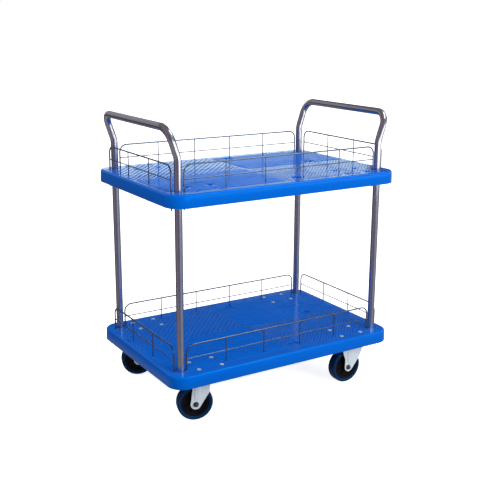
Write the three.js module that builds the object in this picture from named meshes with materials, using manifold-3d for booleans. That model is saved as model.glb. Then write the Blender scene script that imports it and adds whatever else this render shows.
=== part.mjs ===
// Two-tier platform cart: two moulded decks, two bent tube handle frames whose legs are the posts,
// eight wire guard rails, two swivel casters at the -X end and two rigid casters at the +X end.
// Millimetres. +X along the length, +Y across, +Z up. The origin is on the floor, under the middle.
import * as THREE from 'three';
import { mergeVertices } from 'three/addons/utils/BufferGeometryUtils.js';
import Module from 'manifold-3d';

const wasm = await Module();
wasm.setup();

// ---------------------------------------------------------------- driving dimensions
const GAP = 0.3;                  // clearance between pieces that touch
const PAST = 1;                   // joined and cut shapes reach this far past the face they meet

const DECK_LENGTH = 915;
const DECK_WIDTH = 610;
const DECK_CORNER = 56;           // plan radius of the corners
const DECK_HEIGHT = 46;           // skirt depth, top surface to lower edge
const DECK_EDGE = 7;              // rounding of the top edge
const DECK_PLATE = 5;             // thickness of the top plate
const SKIRT_WALL = 5;
const LOWER_TOP = 201;            // height of the lower deck's surface
const UPPER_TOP = 808;            // height of the upper deck's surface
const RIB_WALL = 3.5;
const RIB_DEPTH = 14;             // ribs reach this far below the top surface
const RIBS_ACROSS = [-160, 0, 160];
const RIBS_ALONG = [-100, 0, 100];
const POST_BOSS = 18;             // radius of the bosses that hold the posts
const POST_BOSS_DEPTH = 24;       // upper deck's bosses, below its surface
const BOLT_BOSS = 12;
const PAD_MARGIN = 1.5;           // the pads' rims stand this far outside the caster plates

const TUBE_RADIUS = 12.7;
const TUBE_WALL = 1.5;
const TUBE_SIDES = 10;
const POST_BORE = (TUBE_RADIUS + GAP) / Math.cos(Math.PI / TUBE_SIDES);
const POST_X = 405.5;             // post centres, mirrored about both axes
const POST_Y = 245.6;
const POST_FOOT = 169;            // height of the tube ends in their sockets
const SOCKET_FLOOR = 4;           // socket floors above the caster pads
const COLLAR_RADIUS = 17;
const COLLAR_HEIGHT = 16;
const FOOT_BOLT_LENGTH = 24;
const FOOT_BOLT_HEAD = 5.5;       // height of its head
const HANDLE_KNEE = 911;          // height at which the legs lean outwards
const HANDLE_TOP = 1010;          // centre height of the grip bar
const HANDLE_LEAN = 19 * Math.PI / 180;
const KNEE_RADIUS = 70;
const GRIP_CORNER = 47;

const WIRE = 2.6;                 // radius of the rails' outer wire
const FINE_WIRE = 1.8;            // radius of the middle and upright wires
const RAIL_TOP = 84;              // centre of the top wire above the deck
const RAIL_MIDDLE = 37;
const RAIL_DROP = 62;             // threaded ends reach this far below the deck's surface
const RAIL_CORNER = 27;
const RAIL_HOLE = 3.4;
const LONG_RAIL = { half: 385.5, offset: 246.5, bays: 5 };
const SHORT_RAIL = { half: 240, offset: 428, bays: 3 };

const WHEEL_RADIUS = 62.5;
const WHEEL_WIDTH = 35;
const HUB_RADIUS = 49.5;          // where the tyre sits on the hub
const HUB_LENGTH = 45;
const TYRE_SHOULDER = 58;         // where the sidewall turns into the tread's edge
const TREAD_WIDTH = 27;           // flat part of the tread
const HUB_BOSS = 13;              // radius of the hub's middle
const HUB_WEB = 12;               // thickness of the web between boss and rim
const HUB_RIM = 26;               // width of the rim
const AXLE_RADIUS = 5;
const AXLE_HOLE = 5.4;
const AXLE_HEAD = 8;
const AXLE_HEAD_HEIGHT = 5;
const AXLE_NUT_HEIGHT = 7;
const AXLE_NUT_BORE = 5.15;
const AXLE_END = 9;               // the bolt's end stands this far past the fork
const CASTER_Y = 228;
const SWIVEL_X = -303;            // kingpin
const TRAIL = 39;                 // kingpin to axle, across the floor
const SWIVEL_TURN = -17 * Math.PI / 180;   // the swivel casters stand turned, clockwise from above
const RIGID_X = 299;              // axle of the rigid casters
const BOLT_PITCH_X = 88;
const BOLT_PITCH_Y = 72;
const PLATE_TOP = 158;            // caster plates meet the pads here
const PLATE_THICK = 3.5;
const PLATE_LENGTH = 116;
const PLATE_WIDTH = 98;
const PLATE_CORNER = 12;
const RIGID_PLATE_LENGTH = 136;
const FORK_SHEET = 3;
const FORK_INSIDE = 23.5;         // wheel's middle plane to the inner face of a fork leg
const FORK_CROWN = 143;           // top face of the swivel fork
const FORK_FOOT = 18.5;           // radius of the leg's foot round the axle
const CROWN_RADIUS = 33;
const DISH_RADIUS = 30;           // race dish in the crown
const DISH_RIM = 5;
const RACE_RADIUS = 28;           // pressed race under the top plate, which turns in the dish
const PIN_RADIUS = 6;             // kingpin
const PIN_HOLE = 6.6;
const PIN_HEAD = 10;
const PIN_HEAD_HEIGHT = 5;
const BOLT_RADIUS = 4;
const BOLT_HOLE = 5.2;
const BOLT_HEAD = 8;
const BOLT_HEAD_EDGE = 1.5;       // the round head narrows by this much towards its crown
const BOLT_END = 145.5;           // height of the caster bolts' lower ends
const RECESS_RADIUS = 10;         // the bolt heads lie in recesses, flush with the deck
const RECESS_DEPTH = 3.2;
const SMALL_BOLT_SIDES = 8;

// ---------------------------------------------------------------- materials
function finish(color, roughness, metalness) {
  return new THREE.MeshStandardMaterial({ color, roughness, metalness });
}
const BLUE = finish(0x0a5fd8, 0.35, 0);
const STEEL_TUBE = finish(0xb9b6bd, 0.28, 1);
const CHROME = finish(0xd5d8dc, 0.12, 1);
const ZINC = finish(0xd3d9de, 0.35, 0.9);
const RUBBER = finish(0x10151f, 0.6, 0);
const HUB_BLACK = finish(0x0b0b0c, 0.45, 0);

// ---------------------------------------------------------------- solids and booleans
function toSolid(geometry) {
  const bare = geometry.clone();
  bare.deleteAttribute('normal');
  bare.deleteAttribute('uv');
  const merged = mergeVertices(bare, 1e-4);
  return new wasm.Manifold(new wasm.Mesh({
    numProp: 3,
    vertProperties: new Float32Array(merged.attributes.position.array),
    triVerts: new Uint32Array(merged.index.array),
  }));
}

function toGeometry(solid) {
  const mesh = solid.getMesh();
  const geometry = new THREE.BufferGeometry();
  geometry.setAttribute('position', new THREE.BufferAttribute(mesh.vertProperties, 3));
  geometry.setIndex(new THREE.BufferAttribute(mesh.triVerts, 1));
  geometry.computeVertexNormals();
  return geometry;
}

function join(geometries) {
  return toGeometry(geometries.map(toSolid).reduce((whole, piece) => whole.add(piece)));
}

function cut(geometry, tools) {
  return toGeometry(tools.map(toSolid).reduce((whole, tool) => whole.subtract(tool), toSolid(geometry)));
}

// ---------------------------------------------------------------- shapes
// A box from its lowest to its highest corner.
function block(low, high) {
  const size = high.map((value, i) => value - low[i]);
  const middle = high.map((value, i) => (value + low[i]) / 2);
  return new THREE.BoxGeometry(...size).translate(...middle);
}

// An upright cylinder from z0 to z1.
function rod(x, y, z0, z1, radius, sides = 10) {
  return new THREE.CylinderGeometry(radius, radius, z1 - z0, sides)
    .rotateX(Math.PI / 2)
    .translate(x, y, (z0 + z1) / 2);
}

// A cylinder along Y from y0 to y1.
function crossRod(x, z, y0, y1, radius, sides = 12) {
  return new THREE.CylinderGeometry(radius, radius, y1 - y0, sides).translate(x, (y0 + y1) / 2, z);
}

// A turned piece: [radius, height] points about the Z axis.
function turned(points, sides) {
  return new THREE.LatheGeometry(points.map(([r, z]) => new THREE.Vector2(r, z)), sides)
    .rotateX(Math.PI / 2);
}

function roundedRectangle(length, width, radius) {
  const x = length / 2;
  const y = width / 2;
  const shape = new THREE.Shape();
  shape.moveTo(x - radius, -y);
  shape.absarc(x - radius, -y + radius, radius, -Math.PI / 2, 0);
  shape.absarc(x - radius, y - radius, radius, 0, Math.PI / 2);
  shape.absarc(-x + radius, y - radius, radius, Math.PI / 2, Math.PI);
  shape.absarc(-x + radius, -y + radius, radius, Math.PI, 1.5 * Math.PI);
  return shape;
}

function prism(shape, z0, z1, curveSegments = 4) {
  return new THREE.ExtrudeGeometry(shape, { depth: z1 - z0, bevelEnabled: false, curveSegments })
    .translate(0, 0, z0);
}

// A route of straight stretches and round bends. Extrusion steps fall only where it bends,
// because each key point takes an equal share of the parameter.
class BentRoute extends THREE.Curve {
  constructor(corners, bendRadii, stepsPerBend) {
    super();
    this.keys = [{ at: corners[0], along: corners[1].clone().sub(corners[0]).normalize() }];
    for (let i = 1; i < corners.length - 1; i++) {
      this.addBend(corners[i - 1], corners[i], corners[i + 1], bendRadii[i - 1], stepsPerBend);
    }
    const last = corners.length - 1;
    const along = corners[last].clone().sub(corners[last - 1]).normalize();
    this.keys.push({ at: corners[last], along });
  }

  addBend(before, corner, after, radius, steps) {
    const arriving = corner.clone().sub(before).normalize();
    const leaving = after.clone().sub(corner).normalize();
    const turn = arriving.angleTo(leaving);
    const start = corner.clone().addScaledVector(arriving, -radius * Math.tan(turn / 2));
    const inward = leaving.clone().addScaledVector(arriving, -leaving.dot(arriving)).normalize();
    for (let i = 0; i <= steps; i++) {
      const angle = turn * i / steps;
      this.keys.push({
        at: start.clone()
          .addScaledVector(arriving, radius * Math.sin(angle))
          .addScaledVector(inward, radius * (1 - Math.cos(angle))),
        along: arriving.clone().multiplyScalar(Math.cos(angle))
          .addScaledVector(inward, Math.sin(angle)),
      });
    }
  }

  get steps() { return this.keys.length - 1; }
  key(t) { return this.keys[Math.round(t * this.steps)]; }
  getPoint(t) { return this.key(t).at.clone(); }
  getPointAt(t) { return this.getPoint(t); }
  getSpacedPoints() { return this.keys.map((key) => key.at.clone()); }
  getTangent(t) { return this.key(t).along.clone(); }
  getTangentAt(t) { return this.getTangent(t); }
}

function sweep(route, radius, sides, boreRadius = 0) {
  const section = ring(radius, sides);
  if (boreRadius > 0) section.holes.push(ring(boreRadius, sides));
  return new THREE.ExtrudeGeometry(section, {
    extrudePath: route, steps: route.steps, bevelEnabled: false,
  });
}

function ring(radius, sides) {
  const points = Array.from({ length: sides }, (_, i) => {
    const angle = 2 * Math.PI * i / sides;
    return new THREE.Vector2(radius * Math.cos(angle), radius * Math.sin(angle));
  });
  return new THREE.Shape(points);
}

// ---------------------------------------------------------------- the assembly
const cart = new THREE.Group();

function addPiece(name, geometry, material, parent = cart) {
  const mesh = new THREE.Mesh(geometry, material);
  mesh.name = name;
  parent.add(mesh);
  return mesh;
}

// ---------------------------------------------------------------- decks
function mirroredPlaces(x, y) {
  return [[-x, -y], [x, -y], [x, y], [-x, y]];
}

function railFeet() {
  return [
    ...mirroredPlaces(LONG_RAIL.half, LONG_RAIL.offset),
    ...mirroredPlaces(SHORT_RAIL.offset, SHORT_RAIL.half),
  ];
}

function casterBoltPlaces(x, y) {
  return mirroredPlaces(BOLT_PITCH_X / 2, BOLT_PITCH_Y / 2).map(([dx, dy]) => [x + dx, y + dy]);
}

function casterPlaces() {
  return [[SWIVEL_X, -CASTER_Y], [SWIVEL_X, CASTER_Y], [RIGID_X, -CASTER_Y], [RIGID_X, CASTER_Y]];
}

// The deck's plan outline, drawn in from its edge by inset.
function deckOutline(inset) {
  return roundedRectangle(DECK_LENGTH - 2 * inset, DECK_WIDTH - 2 * inset, DECK_CORNER - inset);
}

// The outer shell: a plate with a stepped top edge and an open underside.
function deckShell(top) {
  const bottom = top - DECK_HEIGHT;
  const step = DECK_EDGE * (1 - Math.SQRT1_2);
  const body = prism(deckOutline(0), bottom, top - DECK_EDGE / 2);
  const raised = prism(deckOutline(step), bottom, top);
  const hollow = prism(deckOutline(SKIRT_WALL), bottom - PAST, top - DECK_PLATE);
  return cut(join([body, raised]), [hollow]);
}

// Ribs that stiffen the plate, and the ribbed pads that the caster plates bolt to.
function deckRibs(top, padBottom) {
  const wall = RIB_WALL / 2;
  const roof = top - DECK_PLATE + PAST;
  const endX = DECK_LENGTH / 2 - PAST;
  const endY = DECK_WIDTH / 2 - PAST;
  const ribs = [];
  for (const y of RIBS_ALONG) {
    ribs.push(block([-endX, y - wall, top - RIB_DEPTH], [endX, y + wall, roof]));
  }
  for (const x of RIBS_ACROSS) {
    ribs.push(block([x - wall, -endY, top - RIB_DEPTH], [x + wall, endY, roof]));
  }
  for (const [x, y] of casterPlaces()) {
    const padX = PLATE_LENGTH / 2 + PAD_MARGIN;
    const padY = PLATE_WIDTH / 2 + PAD_MARGIN;
    for (const side of [-padX, padX]) {
      ribs.push(block([x + side - wall, y - padY, padBottom], [x + side + wall, y + padY, roof]));
    }
    for (const side of [-padY, padY]) {
      ribs.push(block([x - padX, y + side - wall, padBottom], [x + padX, y + side + wall, roof]));
    }
  }
  return ribs;
}

// The posts pass through the upper deck and stand in blind sockets in the lower one.
function deck(top, postsGoThrough) {
  const padBottom = top - LOWER_TOP + PLATE_TOP + GAP;
  const socketBottom = padBottom + SOCKET_FLOOR;
  const bossBottom = postsGoThrough ? top - POST_BOSS_DEPTH : socketBottom;
  const holeBottom = postsGoThrough ? top - DECK_HEIGHT : POST_FOOT - GAP;
  const posts = mirroredPlaces(POST_X, POST_Y);
  const bolts = casterPlaces().flatMap(([x, y]) => casterBoltPlaces(x, y));
  const bosses = [
    ...posts.map(([x, y]) => rod(x, y, bossBottom, top - PAST, POST_BOSS, TUBE_SIDES)),
    ...bolts.map(([x, y]) => rod(x, y, padBottom, top - PAST, BOLT_BOSS, 6)),
  ];
  const holes = [
    ...posts.map(([x, y]) => rod(x, y, holeBottom, top + PAST, POST_BORE, TUBE_SIDES)),
    ...bolts.map(([x, y]) => rod(x, y, padBottom - PAST, top + PAST, BOLT_HOLE, 6)),
    ...bolts.map(([x, y]) => rod(x, y, top - RECESS_DEPTH, top + PAST, RECESS_RADIUS, 8)),
    ...railFeet().map(([x, y]) => rod(x, y, top - DECK_PLATE - PAST, top + PAST, RAIL_HOLE, 6)),
  ];
  if (!postsGoThrough) {
    holes.push(...posts.map(([x, y]) => rod(x, y, socketBottom - PAST, POST_FOOT, BOLT_HOLE, 6)));
  }
  return cut(join([deckShell(top), ...deckRibs(top, padBottom), ...bosses]), holes);
}

addPiece('lower_deck', deck(LOWER_TOP, false), BLUE);
addPiece('upper_deck', deck(UPPER_TOP, true), BLUE);

// ---------------------------------------------------------------- handle frames
function handleFrame(end) {
  const barX = end * (POST_X + (HANDLE_TOP - HANDLE_KNEE) * Math.tan(HANDLE_LEAN));
  const postX = end * POST_X;
  const corners = [
    new THREE.Vector3(postX, -POST_Y, POST_FOOT),
    new THREE.Vector3(postX, -POST_Y, HANDLE_KNEE),
    new THREE.Vector3(barX, -POST_Y, HANDLE_TOP),
    new THREE.Vector3(barX, POST_Y, HANDLE_TOP),
    new THREE.Vector3(postX, POST_Y, HANDLE_KNEE),
    new THREE.Vector3(postX, POST_Y, POST_FOOT),
  ];
  const radii = [KNEE_RADIUS, GRIP_CORNER, GRIP_CORNER, KNEE_RADIUS];
  return sweep(new BentRoute(corners, radii, 4), TUBE_RADIUS, TUBE_SIDES, TUBE_RADIUS - TUBE_WALL);
}

addPiece('left_handle_frame', handleFrame(-1), STEEL_TUBE);
addPiece('right_handle_frame', handleFrame(1), STEEL_TUBE);

// Each post has a collar under the upper deck's boss and a bolt in its foot.
function postCollar() {
  return turned([
    [POST_BORE, 0], [COLLAR_RADIUS, 0], [COLLAR_RADIUS, COLLAR_HEIGHT], [POST_BORE, COLLAR_HEIGHT],
    [POST_BORE, 0],
  ], TUBE_SIDES);
}

function footBolt() {
  return turned([
    [0, -FOOT_BOLT_HEAD], [BOLT_HEAD, -FOOT_BOLT_HEAD], [BOLT_HEAD, 0], [BOLT_RADIUS, 0],
    [BOLT_RADIUS, FOOT_BOLT_LENGTH], [0, FOOT_BOLT_LENGTH],
  ], SMALL_BOLT_SIDES);
}

for (const [x, y] of mirroredPlaces(POST_X, POST_Y)) {
  const corner = `${x < 0 ? 'left' : 'right'}_${y < 0 ? 'front' : 'rear'}`;
  const collarFoot = UPPER_TOP - POST_BOSS_DEPTH - COLLAR_HEIGHT - GAP;
  addPiece(`${corner}_post_collar`, postCollar(), ZINC).position.set(x, y, collarFoot);
  addPiece(`${corner}_foot_bolt`, footBolt(), ZINC).position.set(x, y, PLATE_TOP + SOCKET_FLOOR);
}

// ---------------------------------------------------------------- wire guard rails
// One rail in the XZ plane, standing on z = 0, with its ends reaching down through the deck.
function wireRail({ half, bays }) {
  const corners = [
    new THREE.Vector3(-half, 0, -RAIL_DROP),
    new THREE.Vector3(-half, 0, RAIL_TOP),
    new THREE.Vector3(half, 0, RAIL_TOP),
    new THREE.Vector3(half, 0, -RAIL_DROP),
  ];
  const outer = sweep(new BentRoute(corners, [RAIL_CORNER, RAIL_CORNER], 3), WIRE, 6);
  const middle = new THREE.CylinderGeometry(FINE_WIRE, FINE_WIRE, 2 * half, 5)
    .rotateZ(Math.PI / 2)
    .translate(0, 0, RAIL_MIDDLE);
  const uprights = [];
  for (let bay = 1; bay < bays; bay++) {
    const x = -half + 2 * half * bay / bays;
    uprights.push(rod(x, 0, GAP, RAIL_TOP, FINE_WIRE, 5));
  }
  return join([outer, middle, ...uprights]);
}

for (const [tier, top] of [['lower', LOWER_TOP], ['upper', UPPER_TOP]]) {
  for (const side of [-1, 1]) {
    const long = addPiece(`${tier}_${side < 0 ? 'front' : 'rear'}_rail`, wireRail(LONG_RAIL), CHROME);
    long.position.set(0, side * LONG_RAIL.offset, top);
    const short = addPiece(`${tier}_${side < 0 ? 'left' : 'right'}_rail`, wireRail(SHORT_RAIL), CHROME);
    short.rotation.z = Math.PI / 2;
    short.position.set(side * SHORT_RAIL.offset, 0, top);
  }
}

// ---------------------------------------------------------------- wheels
// A wheel's pieces are made about the Y axis, at the origin of the caster's axle.
function aboutY(geometry) {
  return geometry.rotateX(Math.PI / 2);
}

function tyre() {
  const half = WHEEL_WIDTH / 2;
  const seat = HUB_RADIUS + GAP;
  return aboutY(turned([
    [seat, -half + 2], [TYRE_SHOULDER, -half], [WHEEL_RADIUS, -TREAD_WIDTH / 2],
    [WHEEL_RADIUS, TREAD_WIDTH / 2], [TYRE_SHOULDER, half], [seat, half - 2], [seat, -half + 2],
  ], 28));
}

// The hub is a boss and a rim joined by a thin web.
function hub() {
  const bore = AXLE_HOLE;
  const end = HUB_LENGTH / 2;
  const web = HUB_WEB / 2;
  const rim = HUB_RIM / 2;
  const inner = HUB_BOSS + 2;
  const outer = HUB_RADIUS - 8;
  return aboutY(turned([
    [bore, -end], [HUB_BOSS, -end], [inner, -web], [outer, -web], [HUB_RADIUS, -rim],
    [HUB_RADIUS, rim], [outer, web], [inner, web], [HUB_BOSS, end], [bore, end], [bore, -end],
  ], 14));
}

// The bolt runs along Y from its head at the +Y side to its nut at the -Y side.
function axleBolt() {
  const face = FORK_INSIDE + FORK_SHEET + GAP;
  return aboutY(turned([
    [0, -face - AXLE_HEAD_HEIGHT], [AXLE_HEAD, -face - AXLE_HEAD_HEIGHT], [AXLE_HEAD, -face],
    [AXLE_RADIUS, -face], [AXLE_RADIUS, face + AXLE_END], [0, face + AXLE_END],
  ], SMALL_BOLT_SIDES));
}

function axleNut() {
  const bore = AXLE_NUT_BORE / Math.cos(Math.PI / 6);
  const low = FORK_INSIDE + FORK_SHEET + GAP;
  const high = low + AXLE_NUT_HEIGHT;
  return aboutY(turned([
    [bore, low], [AXLE_HEAD, low], [AXLE_HEAD, high], [bore, high], [bore, low],
  ], 6));
}

function addWheel(name, group) {
  addPiece(`${name}_tyre`, tyre(), RUBBER, group);
  addPiece(`${name}_hub`, hub(), HUB_BLACK, group);
  addPiece(`${name}_axle_bolt`, axleBolt(), ZINC, group);
  addPiece(`${name}_axle_nut`, axleNut(), ZINC, group);
}

// ---------------------------------------------------------------- casters
// A pair of fork legs with the given XZ outline, joined by a level sheet at their top.
function forkLegs(outline, crownLow, crownHigh, crownX0, crownX1) {
  const outer = FORK_INSIDE + FORK_SHEET;
  const leg = (y0) => new THREE.ExtrudeGeometry(outline, {
    depth: FORK_SHEET, bevelEnabled: false, curveSegments: 6,
  }).rotateX(Math.PI / 2).translate(0, y0 + FORK_SHEET, 0);
  return [
    leg(-outer),
    leg(FORK_INSIDE),
    block([crownX0, -outer, crownLow], [crownX1, outer, crownHigh]),
  ];
}

function axleHole() {
  return crossRod(0, 0, -HUB_LENGTH, HUB_LENGTH, AXLE_HOLE, 10);
}

function plateHoles(top) {
  return mirroredPlaces(BOLT_PITCH_X / 2, BOLT_PITCH_Y / 2)
    .map(([x, y]) => rod(x, y, top - PLATE_THICK - PAST, top + PAST, BOLT_HOLE, 6));
}

// The swivel fork, about its axle. The kingpin is TRAIL ahead of the axle.
function swivelFork() {
  const top = FORK_CROWN - WHEEL_RADIUS;
  const back = -8;
  const front = TRAIL + 12;
  const outline = new THREE.Shape();
  outline.moveTo(-FORK_FOOT, 0);
  outline.absarc(0, 0, FORK_FOOT, Math.PI, 1.78 * Math.PI);
  outline.lineTo(27, 9);
  outline.lineTo(48, 42);
  outline.lineTo(front, top);
  outline.lineTo(back, top);
  outline.lineTo(-11.5, 54);
  const legs = forkLegs(outline, top - FORK_SHEET, top, back, front);
  const crown = rod(TRAIL, 0, top - FORK_SHEET, top + DISH_RIM, CROWN_RADIUS, 14);
  const dish = rod(TRAIL, 0, top, top + DISH_RIM + PAST, DISH_RADIUS, 14);
  const pinHole = rod(TRAIL, 0, top - FORK_SHEET - PAST, top + PAST, PIN_HOLE, 10);
  return cut(join([...legs, crown]), [dish, pinHole, axleHole()]);
}

// The swivel caster's top plate, about the kingpin, with its pressed upper race.
function swivelPlate() {
  const outline = roundedRectangle(PLATE_LENGTH, PLATE_WIDTH, PLATE_CORNER);
  const sheet = prism(outline, PLATE_TOP - PLATE_THICK, PLATE_TOP, 3);
  const race = rod(0, 0, FORK_CROWN + GAP, PLATE_TOP - PAST, RACE_RADIUS, 14);
  const pinHole = rod(0, 0, FORK_CROWN, PLATE_TOP + PAST, PIN_HOLE, 10);
  return cut(join([sheet, race]), [...plateHoles(PLATE_TOP), pinHole]);
}

function kingpin() {
  const head = FORK_CROWN - FORK_SHEET - GAP;
  return turned([
    [0, head - PIN_HEAD_HEIGHT], [PIN_HEAD, head - PIN_HEAD_HEIGHT], [PIN_HEAD, head],
    [PIN_RADIUS, head],
    [PIN_RADIUS, PLATE_TOP], [0, PLATE_TOP],
  ], 10);
}

// The rigid bracket, about its axle: two legs that lean towards +X under a level plate.
function rigidBracket() {
  const top = PLATE_TOP - WHEEL_RADIUS;
  const back = -32;
  const front = 67;
  const outline = new THREE.Shape();
  outline.moveTo(-14.5, 2);
  outline.absarc(3, 0, FORK_FOOT - 1, Math.PI, 1.78 * Math.PI);
  outline.lineTo(49, 29);
  outline.lineTo(65, 62);
  outline.lineTo(front, top);
  outline.lineTo(back, top);
  outline.lineTo(-26, 66);
  outline.lineTo(-14, 32);
  const legs = forkLegs(outline, top - PLATE_THICK, top, back, front);
  const plate = roundedRectangle(RIGID_PLATE_LENGTH, PLATE_WIDTH, PLATE_CORNER);
  const sheet = prism(plate, top - PLATE_THICK, top, 3);
  return cut(join([...legs, sheet]), [...plateHoles(top), axleHole()]);
}

// Round-headed bolts go down through the deck, the pad and the caster plate.
function casterBolt() {
  const seat = LOWER_TOP - RECESS_DEPTH + GAP;
  const crown = LOWER_TOP - GAP;
  return turned([
    [0, BOLT_END], [BOLT_RADIUS, BOLT_END], [BOLT_RADIUS, seat],
    [BOLT_HEAD, seat], [BOLT_HEAD - BOLT_HEAD_EDGE, crown - BOLT_HEAD_EDGE / 2], [0, crown],
  ], SMALL_BOLT_SIDES);
}

function addCasterBolts(name, x, y) {
  const corners = ['left_front', 'right_front', 'right_rear', 'left_rear'];
  casterBoltPlaces(x, y).forEach(([boltX, boltY], i) => {
    addPiece(`${name}_bolt_${corners[i]}`, casterBolt(), ZINC).position.set(boltX, boltY, 0);
  });
}

for (const side of [-1, 1]) {
  const row = side < 0 ? 'front' : 'rear';
  const y = side * CASTER_Y;

  const turn = new THREE.Group();
  turn.position.set(SWIVEL_X, y, 0);
  turn.rotation.z = SWIVEL_TURN;
  cart.add(turn);
  const swivel = new THREE.Group();
  swivel.position.set(-TRAIL, 0, WHEEL_RADIUS);
  turn.add(swivel);
  addPiece(`swivel_${row}_fork`, swivelFork(), ZINC, swivel);
  addWheel(`swivel_${row}`, swivel);
  addPiece(`swivel_${row}_plate`, swivelPlate(), ZINC).position.set(SWIVEL_X, y, 0);
  addPiece(`swivel_${row}_kingpin`, kingpin(), ZINC).position.set(SWIVEL_X, y, 0);
  addCasterBolts(`swivel_${row}`, SWIVEL_X, y);

  const rigid = new THREE.Group();
  rigid.position.set(RIGID_X, y, WHEEL_RADIUS);
  cart.add(rigid);
  addPiece(`rigid_${row}_bracket`, rigidBracket(), ZINC, rigid);
  addWheel(`rigid_${row}`, rigid);
  addCasterBolts(`rigid_${row}`, RIGID_X, y);
}

export default cart;
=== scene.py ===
"""Looks of the two-tier platform cart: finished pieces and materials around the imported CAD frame.

Everything is in metres, in the row frame: +X along the cart, +Y across it, +Z up, floor at z = 0.
Places come from the frame's nodes; the constants below are the sizes that only the looks need.
"""
import math

import bmesh
import bpy
from mathutils import Euler, Matrix, Vector


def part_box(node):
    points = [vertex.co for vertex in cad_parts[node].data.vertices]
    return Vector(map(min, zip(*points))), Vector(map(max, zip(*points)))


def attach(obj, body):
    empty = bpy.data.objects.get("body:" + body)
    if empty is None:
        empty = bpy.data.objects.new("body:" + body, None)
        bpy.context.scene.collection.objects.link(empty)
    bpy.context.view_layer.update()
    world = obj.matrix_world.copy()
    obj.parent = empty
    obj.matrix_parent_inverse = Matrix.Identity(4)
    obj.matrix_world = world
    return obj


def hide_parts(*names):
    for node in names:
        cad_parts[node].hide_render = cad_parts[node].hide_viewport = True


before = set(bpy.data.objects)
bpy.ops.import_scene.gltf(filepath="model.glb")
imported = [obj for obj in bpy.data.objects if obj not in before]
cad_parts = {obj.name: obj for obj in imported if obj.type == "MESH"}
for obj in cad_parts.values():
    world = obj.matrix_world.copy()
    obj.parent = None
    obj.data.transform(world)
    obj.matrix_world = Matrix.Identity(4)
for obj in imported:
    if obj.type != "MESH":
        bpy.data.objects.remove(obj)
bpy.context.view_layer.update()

MM = 0.001
TAU = 2 * math.pi
GAP = 0.3 * MM                # clearance between neighbouring pieces

# ---- camera
CAMERA_AZIMUTH = math.radians(-31.63)
CAMERA_ELEVATION = math.radians(14.59)
CAMERA_ROLL = math.radians(0.194)
CAMERA_PLACE = (-1.6461, -2.6315, 1.3486)
CAMERA_LENS = 65.0

# ---- deck
DECK_CORNER = 56 * MM
DECK_EDGE = 8 * MM            # rounding of the top edge
DECK_PLATE = 5 * MM
SKIRT_WALL = 5 * MM
SKIRT_DRAFT = 1 * MM
CORNER_STEPS = 14
COARSE_PITCH = 16.5 * MM      # of the anti-slip ridges on the top
FINE_PITCH = 10.3 * MM        # in the field at the front right
RIDGE_WIDTH = 0.66            # of the pitch, at the foot
RIDGE_CREST = 0.33            # of the pitch, at the top
SHORTEST_RIDGE = 20 * MM
RIDGE_CLEAR = 5 * MM          # from the rim of a hole to the nearest ridge
RIDGE_HEIGHT = 1.5 * MM
RIDGE_SINK = 0.2 * MM
RIDGE_ANGLE = math.radians(48)
FIELD_END = 16 * MM           # smooth border outside the ridges, at the short ends
FIELD_SIDE = 34 * MM          # and along the long sides
FIELD_MIDDLE = 5 * MM         # half width of the smooth strips between the four fields
BOLT_HOLE = 5.4 * MM
BOLT_RECESS = 10.2 * MM       # round recesses that the bolt heads lie in
BOLT_RECESS_DEPTH = 3.2 * MM  # below the crests of the ridges
BOLT_BOSS = 9 * MM
POST_HOLE = 13.4 * MM
POST_BOSS = 18 * MM
SOCKET_FLOOR = 4.3 * MM       # underside of the post sockets, above the caster plates
RAIL_HOLE = 3.3 * MM
RAIL_BOSS = 8 * MM
RAIL_BOSS_DEPTH = 44 * MM     # rail bosses reach this far below the surface
RECESS_RADIUS = 19 * MM
RECESS_DEPTH = 3.5 * MM
RECESS_BUTTON = 5 * MM        # the small raised button in each recess
RECESSES = ((60 * MM, -230 * MM), (60 * MM, 230 * MM), (292 * MM, 25 * MM))
UNDER_RIB = 3.5 * MM
UNDER_RIB_DEPTH = 14 * MM
RIB_Y = 100 * MM              # the outer lengthways ribs
RIB_X = 160 * MM              # the outer crossways ribs
PAD_HALF_X = 60 * MM          # the ribbed pads above the casters
PAD_HALF_Y = 50 * MM

# ---- tubes and wires
TUBE_RADIUS = 12.7 * MM
KNEE_HEIGHT = 911 * MM
KNEE_RADIUS = 70 * MM
GRIP_CORNER = 47 * MM
WIRE = 2.6 * MM
FINE_WIRE = 1.8 * MM
RAIL_CORNER = 27 * MM
RAIL_MIDDLE = 37 * MM         # middle wire above the deck
THREAD_LENGTH = 24 * MM
THREAD_PITCH = 0.9 * MM
THREAD_ROOT = 0.84            # of the thread's radius
THREAD_TIP = 0.75             # of the thread's radius, at its chamfered end
LONG_BAYS = 5                 # openings between the uprights
SHORT_BAYS = 3
WELD_RADIUS = 2.7 * MM
TOP_WELD_RADIUS = 2.61 * MM

# ---- casters
WHEEL_RADIUS = 62.5 * MM
TYRE_HALF = 17.5 * MM         # half its width
TYRE_SEAT = 49.8 * MM         # inner radius
TYRE_EDGE = 4.2 * MM          # rounding of the tread's edges
HUB_HALF = 22.5 * MM          # half width of the hub's boss
AXLE_BORE = 5.4 * MM          # holes for the axle
HUB_RIBS = 8
AXLE_RADIUS = 5 * MM
AXLE_HEX = 7.6 * MM           # corner radius of the axle bolt's head and nut
FORK_INSIDE = 23.5 * MM
FORK_SHEET = 3 * MM
FORK_OUTSIDE = FORK_INSIDE + FORK_SHEET
FORK_FOOT = 18.5 * MM
BRACKET_FOOT = 17.5 * MM
PRESSED_RIB = 3 * MM          # height of the rib pressed out of each leg
PLATE_SHEET = 3.5 * MM
PLATE_HALF_Y = 49 * MM
PLATE_CORNER = 10 * MM
PLATE_HOLE = 4.6 * MM
PRESSING_EDGE = 0.7 * MM      # rounding of the sheet's edges

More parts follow.
